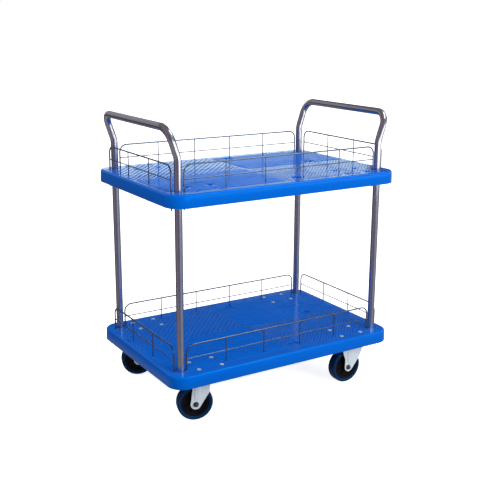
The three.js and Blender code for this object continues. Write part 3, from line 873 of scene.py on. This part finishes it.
def axle_pieces(name, body):
    """The axle bolt, with its head on the +Y side, and its locking nut on the -Y side."""
    matrix = caster_matrix(name)
    place = (0, 0, 0)
    face = FORK_OUTSIDE + 0.2 * MM
    head = AXLE_HEAD_END
    chamfer = 1 * MM
    bolt = Shape()
    bolt.turned([(AXLE_HEX, face), (AXLE_HEX, head - 0.8 * MM), (AXLE_HEX - chamfer, head)],
                place, "Y", 6)
    bolt.turned([(AXLE_RADIUS, -face - 1 * MM), (AXLE_RADIUS, face + 0.5 * MM)], place, "Y", 32)
    thread = thread_profile(AXLE_RADIUS, 0, AXLE_NUT_END - face)
    bolt.turned([(r, z - AXLE_NUT_END) for r, z in thread], place, "Y", 24)
    bolt.moved(matrix)
    make_piece(f"{name}_axle_screw", bolt, AXLE, body, [f"{name}_axle_bolt"], sharp=28)
    nut = Shape()
    bore = AXLE_RADIUS + 0.2 * MM
    nut_end = -face - 7 * MM
    flange, flange_end = 9.6 * MM, -face - 1.2 * MM
    nut.turned([(bore, nut_end), (AXLE_HEX - chamfer, nut_end), (AXLE_HEX, nut_end + 0.8 * MM),
                (AXLE_HEX, -face), (bore, -face)], place, "Y", 6, closed=True)
    nut.turned([(bore, flange_end), (flange, flange_end), (flange, -face), (bore, -face)],
               place, "Y", 40, closed=True)
    nut.moved(matrix)
    make_piece(f"{name}_lock_nut", nut, AXLE, body, [f"{name}_axle_nut"], sharp=28)


def add_sheet(shape, outline, y0, y1):
    """A sheet with an (x, z) outline about the axle and a round axle hole, between y0 and y1."""
    hole = arc(0, 0, AXLE_BORE, 0, TAU, 28)[:-1]

    def at(y, loop):
        return [Vector((p.x, y, p.y)) for p in loop]

    for y, facing in ((y0, -1), (y1, 1)):
        fill_with_holes(shape, at(y, outline), [at(y, hole)], (0, facing, 0))
    for loop in (outline, hole):
        shape.grid([at(y, loop) for y in (y0, y1)])


def arc(cx, cz, radius, start, end, steps):
    """Points round part of a circle."""
    return [Vector((cx + radius * math.cos(start + (end - start) * i / steps),
                    cz + radius * math.sin(start + (end - start) * i / steps)))
            for i in range(steps + 1)]


def leg_outline(foot_x, foot_radius, front, back, edge_radii):
    """A leg's (x, z) outline: round foot, front edge up to the level top, back edge down."""
    foot = arc(foot_x, 0, foot_radius, math.pi, 1.78 * math.pi, 16)
    corners = [foot[-1], *(Vector(p) * MM for p in front)]
    route = bent_route([(p.x, 0, p.y) for p in corners], [r * MM for r in edge_radii],
                       math.radians(7))
    outline = foot + [Vector((p.x, p.z)) for p in route[1:]]
    return outline + [Vector(p) * MM for p in back]


def add_emboss(shape, x0, x1, z0, z1, y, out, height):
    """A long raised rib with round ends, pressed out of a leg's outer face."""
    half = (x1 - x0) / 2
    middle = (x0 + x1) / 2
    layers = ((1.0, -0.6 * MM), (0.84, height * 0.75), (0.66, height * 0.97), (0.3, height))
    loops = []
    for share, rise in layers:
        ends = (arc(middle, z1 - half, half * share, 0, math.pi, 12)
                + arc(middle, z0 + half, half * share, math.pi, TAU, 12))
        loops.append([Vector((p.x, y + out * rise, p.y)) for p in ends])
    start = shape.grid(loops)
    shape.cap(start, len(loops[0]), flip=True)
    shape.cap(start + (len(loops) - 1) * len(loops[0]), len(loops[0]))


def add_legs(shape, outline, emboss_x0, emboss_x1, emboss_z0, emboss_z1):
    """Both legs of a fork or bracket, each with a raised rib on its outer face."""
    for sign in (-1, 1):
        add_sheet(shape, outline, *sorted((sign * FORK_INSIDE, sign * FORK_OUTSIDE)))
        add_emboss(shape, emboss_x0, emboss_x1, emboss_z0, emboss_z1, sign * FORK_OUTSIDE, sign,
                   PRESSED_RIB)


def swivel_fork_piece(name):
    """A fork: two legs, the level sheet between them, and the round crown."""
    node = f"{name}_fork"
    axle = centre(f"{name}_tyre")
    trail = (centre(f"{name}_kingpin").xy - axle.xy).length
    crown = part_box(f"{name}_plate")[0].z - GAP - axle.z
    top = (crown - 1 * MM) / MM
    shape = Shape()
    outline = leg_outline(0, FORK_FOOT, [(27, 9), (48, 42), (50, top)], [(-8, top), (-11.5, 54)],
                          [10, 15])
    add_legs(shape, outline, -7 * MM, 17 * MM, 17 * MM, crown - 3 * MM)
    shape.block((-8 * MM, -FORK_OUTSIDE, crown - FORK_SHEET), (50 * MM, FORK_OUTSIDE, crown))
    add_crown(shape, trail, crown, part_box(node)[1].z - axle.z)
    shape.moved(caster_matrix(name))
    make_piece(f"{name}_fork_pressing", shape, ZINC, f"{name}_fork_body", [node], sharp=32,
               bevel=PRESSING_EDGE)


def add_crown(shape, trail, crown, top):
    """The fork's round crown with its upturned race."""
    floor = crown - FORK_SHEET
    hole = 6.6 * MM
    race_in, race_out = 30.1 * MM, 33 * MM
    rim = top - 0.6 * MM
    shape.turned([(hole, floor), (30 * MM, floor), (32 * MM, floor + 1 * MM), (race_out, crown),
                  (race_out, rim), (32.4 * MM, top), (30.6 * MM, top), (race_in, rim),
                  (race_in, crown), (hole, crown)],
                 (trail, 0, 0), sides=64, closed=True)


def swivel_plate_piece(name):
    """A swivel caster's top plate with its upper race."""
    node = f"{name}_plate"
    low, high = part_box(node)
    middle = centre(node)
    shape = Shape()
    add_plate(shape, name, node)
    hole = 6.8 * MM
    race_top = high.z - PLATE_SHEET + 0.1 * MM
    shape.turned([(hole, low.z), (25 * MM, low.z), (28 * MM, low.z + 2 * MM), (29.5 * MM, race_top),
                  (hole, race_top)], (middle.x, middle.y, 0), sides=64, closed=True)
    make_piece(f"{name}_top_plate", shape, ZINC, "root", [node], sharp=32)


def kingpin_piece(name):
    """The rivet that a fork turns on."""
    node = f"{name}_kingpin"
    low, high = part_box(node)
    middle = centre(node)
    head_top = low.z + 5 * MM
    shape = Shape().turned([(7 * MM, low.z), (9.2 * MM, low.z + 0.9 * MM),
                            (KINGPIN_HEAD, low.z + 2.5 * MM), (KINGPIN_HEAD, head_top),
                            (KINGPIN_RADIUS, head_top), (KINGPIN_RADIUS, high.z - 0.5 * MM),
                            (5.5 * MM, high.z)], (middle.x, middle.y, 0))
    make_piece(f"{name}_king_rivet", shape, ZINC, "root", [node])


def add_plate(shape, name, node):
    """A caster's rounded mounting plate, with its four bolt holes."""
    low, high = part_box(node)
    middle = Vector((centre(node).x, centre(node).y, 0))
    outline = [p + middle for p in rounded_loop((high.x - low.x) / 2, PLATE_HALF_Y, PLATE_CORNER, 0)]
    bolts = [centre(f"{name}_bolt_{corner}") for corner in CORNERS]
    levels = (high.z - PLATE_SHEET, high.z)
    for z, facing in zip(levels, (-1, 1)):
        level = [Vector((p.x, p.y, z)) for p in outline]
        fill_with_holes(shape, level, [circle(b.x, b.y, z, PLATE_HOLE, 20) for b in bolts],
                        (0, 0, facing))
    shape.grid([[Vector((p.x, p.y, z)) for p in outline] for z in levels])
    for b in bolts:
        shape.grid([circle(b.x, b.y, z, PLATE_HOLE, 20) for z in levels])


def rigid_bracket_piece(name):
    """A rigid caster's bracket: two leaning legs under a plate."""
    node = f"{name}_bracket"
    plate_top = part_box(node)[1].z - centre(f"{name}_tyre").z
    top = plate_top / MM - 1
    shape = Shape()
    outline = leg_outline(3 * MM, BRACKET_FOOT, [(49, 29), (65, 62), (67, top)],
                          [(-32, top), (-26, 66), (-14, 32)], [12, 20])
    add_legs(shape, outline, -5 * MM, 21 * MM, 14 * MM, plate_top - 4 * MM)
    shape.moved(caster_matrix(name))
    add_plate(shape, name, node)
    make_piece(f"{name}_bracket_pressing", shape, ZINC, "root", [node], sharp=32,
               bevel=PRESSING_EDGE)


def caster_fasteners(name):
    """Round-headed bolts through the deck, each with a washer and nut under the caster plate."""
    for corner in CORNERS:
        node = f"{name}_bolt_{corner}"
        low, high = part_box(node)
        middle = centre(node)
        head = high.z - BOLT_HEAD_HEIGHT
        bolt = Shape()
        bolt.turned([(3 * MM, low.z), (BOLT_RADIUS, low.z + 0.8 * MM), (BOLT_RADIUS, head),
                     (BOLT_HEAD, head), (BOLT_HEAD, head + 0.9 * MM), (7.2 * MM, head + 1.7 * MM),
                     (5.4 * MM, head + 2.3 * MM), (2.8 * MM, head + 2.6 * MM), (0.6 * MM, high.z)],
                    (middle.x, middle.y, 0), sides=32)
        # The heads' blue tint is a painted reflection of the deck, not the steel's own colour.
        make_piece(f"{node}_round_head", bolt, BOLT_PAINTED_REFLECTION, "root", [node])
        plate_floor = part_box("swivel_front_plate")[1].z - PLATE_SHEET
        nut = Shape()
        washer(nut, middle.x, middle.y, plate_floor - 1.3 * MM, *BOLT_WASHER)
        hex_nut(nut, middle.x, middle.y, plate_floor - 7 * MM, *BOLT_NUT)
        make_piece(f"{node}_nut", nut, ZINC, "root")


for name in CASTER_NAMES:
    wheel_pieces(name)
    axle_pieces(name, f"{name}_fork_body" if name.startswith("swivel") else "root")
    caster_fasteners(name)
for row in ("front", "rear"):
    swivel_fork_piece(f"swivel_{row}")
    swivel_plate_piece(f"swivel_{row}")
    kingpin_piece(f"swivel_{row}")
    rigid_bracket_piece(f"rigid_{row}")


# ======== studio
# Brightness of the room at eye level, by direction: degrees from +X towards +Y.
ROOM = ((-180, (0.24, 0.20, 0.25)), (-157, (0.18, 0.16, 0.22)), (-122, (0.11, 0.11, 0.19)),
        (-98, (0.18, 0.20, 0.33)), (-69, (0.40, 0.45, 0.58)), (-33, (0.21, 0.25, 0.35)),
        (10, (0.25, 0.26, 0.30)), (58, (0.03, 0.05, 0.10)), (95, (0.12, 0.11, 0.13)),
        (122, (0.03, 0.04, 0.07)), (165, (0.21, 0.18, 0.22)), (180, (0.24, 0.20, 0.25)))
CEILING = (0.20, 0.17, 0.19)
GROUND = (0.28, 0.27, 0.31)
AMBIENT_ABOVE = (1.0, 1.0, 1.0)
AMBIENT_BELOW = (0.16, 0.16, 0.16)
BLACK, WHITE = (0, 0, 0), (1, 1, 1)
# Heights of those parts, from 0 straight down to 1 straight up
GROUND_END, GROUND_FADE = 0.27, 0.34
CEILING_FADE, CEILING_START = 0.72, 0.86
HORIZON_LOW, HORIZON_HIGH = 0.47, 0.53
FLOOR_REACH = 40.0
FLOOR_GLOW = 0.75             # lightens the shadow on the floor


def soft_light(name, place, aim, size, radiance, color=(1, 1, 1), lights=True, mirrored_too=True):
    """A rectangular softbox that the camera doesn't see. It lights, shows in reflections, or both."""
    data = bpy.data.lights.new(name, "AREA")
    data.shape = "RECTANGLE"
    data.size, data.size_y = size
    data.energy = radiance * math.pi * size[0] * size[1]
    data.color = color
    light = bpy.data.objects.new(name, data)
    bpy.context.scene.collection.objects.link(light)
    light.location = place
    light.rotation_euler = (Vector(aim) - Vector(place)).to_track_quat("-Z", "Y").to_euler()
    light.visible_camera = False
    light.visible_diffuse = lights
    light.visible_glossy = mirrored_too


def studio_floor():
    """A pale floor. Only the camera sees it: the world's lower half lights and mirrors instead."""
    mesh = bpy.data.meshes.new("studio_floor")
    mesh.from_pydata([(x, y, 0) for x, y in mirrored(FLOOR_REACH, FLOOR_REACH)], [], [(0, 1, 2, 3)])
    recipe = Recipe("studio_floor", (0.93, 0.93, 0.935), 0.8, specular=0.0)
    recipe.vary_color(recipe.noise(2, 2), (0.92, 0.92, 0.925), 0.5)
    recipe.shader.inputs["Emission Color"].default_value = (1, 1, 1, 1)
    recipe.shader.inputs["Emission Strength"].default_value = FLOOR_GLOW
    mesh.materials.append(recipe.material)
    floor = bpy.data.objects.new("studio_floor", mesh)
    bpy.context.scene.collection.objects.link(floor)
    floor.visible_glossy = False
    floor.visible_diffuse = False


def studio_world():
    """White behind the cart, even light on it, and a room of soft bands in its reflections."""
    world = bpy.data.worlds.new("studio")
    bpy.context.scene.world = world
    world.use_nodes = True
    tree = world.node_tree
    nodes, links = tree.nodes, tree.links

    def math_node(operation, *values):
        node = nodes.new("ShaderNodeMath")
        node.operation = operation
        for socket, value in zip(node.inputs, values):
            if isinstance(value, float):
                socket.default_value = value
            else:
                links.new(value, socket)
        return node.outputs[0]

    def mix_colors(factor, first, second):
        node = nodes.new("ShaderNodeMix")
        node.data_type = "RGBA"
        links.new(factor, node.inputs[MIX_FACTOR])
        for index, value in ((MIX_FIRST, first), (MIX_SECOND, second)):
            if isinstance(value, tuple):
                node.inputs[index].default_value = (*value, 1)
            else:
                links.new(value, node.inputs[index])
        return node.outputs[MIX_RESULT]

    def ramp(factor, stops):
        node = nodes.new("ShaderNodeValToRGB")
        links.new(factor, node.inputs["Fac"])
        elements = node.color_ramp.elements
        for element, (position, color) in zip(elements, (stops[0], stops[-1])):
            element.position, element.color = position, (*color, 1)
        for position, color in stops[1:-1]:
            elements.new(position).color = (*color, 1)
        return node.outputs["Color"]

    direction = nodes.new("ShaderNodeTexCoord").outputs["Generated"]
    split = nodes.new("ShaderNodeSeparateXYZ")
    links.new(direction, split.inputs[0])
    x, y, z = split.outputs
    turn = math_node("MULTIPLY_ADD", math_node("ARCTAN2", y, x), 1 / TAU, 0.5)
    height = math_node("MULTIPLY_ADD", z, 0.5, 0.5)

    def step(start, below, end, above):
        return ramp(height, [(0.0, below), (start, below), (end, above), (1.0, above)])

    room = ramp(turn, [((degrees + 180) / 360, color) for degrees, color in ROOM])
    overhead = step(CEILING_FADE, BLACK, CEILING_START, WHITE)
    underfoot = step(GROUND_END, WHITE, GROUND_FADE, BLACK)
    mirrored_room = mix_colors(underfoot, mix_colors(overhead, room, CEILING), GROUND)
    ambient = step(HORIZON_LOW, AMBIENT_BELOW, HORIZON_HIGH, AMBIENT_ABOVE)
    rays = nodes.new("ShaderNodeLightPath")
    seen = mix_colors(rays.outputs["Is Glossy Ray"], ambient, mirrored_room)
    seen = mix_colors(rays.outputs["Is Camera Ray"], seen, WHITE)
    links.new(seen, nodes["Background"].inputs["Color"])


def camera():
    """The camera, at its fitted place and direction."""
    data = bpy.data.cameras.new("camera")
    data.lens = CAMERA_LENS
    eye = bpy.data.objects.new("camera", data)
    bpy.context.scene.collection.objects.link(eye)
    look = Euler((math.pi / 2 - CAMERA_ELEVATION, 0, CAMERA_AZIMUTH)).to_matrix()
    turn = look @ Matrix.Rotation(CAMERA_ROLL, 3, "Z")
    eye.matrix_world = Matrix.Translation(CAMERA_PLACE) @ turn.to_4x4()
    bpy.context.scene.camera = eye


camera()
studio_floor()
studio_world()
soft_light("key_light", (0.9, -2.6, 1.35), (0, 0, 0.75), (1.3, 1.6), 10, mirrored_too=False)
soft_light("left_light", (-1.5, -1.2, 1.6), (-0.45, -0.1, 0.8), (0.8, 0.8), 5.5, mirrored_too=False)
soft_light("front_panel", (0.75, -1.42, 0.79), (0.75, 0, 0.79), (2.3, 0.44), 2, lights=False)
soft_light("grip_panel", (-0.8, 1.6, 1.58), (-0.8, 0, 1.58), (2.2, 1.25), 0.24, lights=False)
soft_light("side_panel", (2.4, -0.5, 0.76), (0, -0.5, 0.76), (1.8, 0.4), 1.2, lights=False)
soft_light("top_strip", (1.1, -0.85, 2.6), (0.1, -0.3, 0.8), (1.7, 0.9), 4, (0.8, 0.95, 1),
           lights=False)
soft_light("back_panel", (4.06, 6.89, 1.9), (0, 0, 1.9), (3.6, 1.0), 1.6, (0.82, 1.0, 0.95),
           lights=False)
bpy.context.scene.view_settings.view_transform = "Standard"
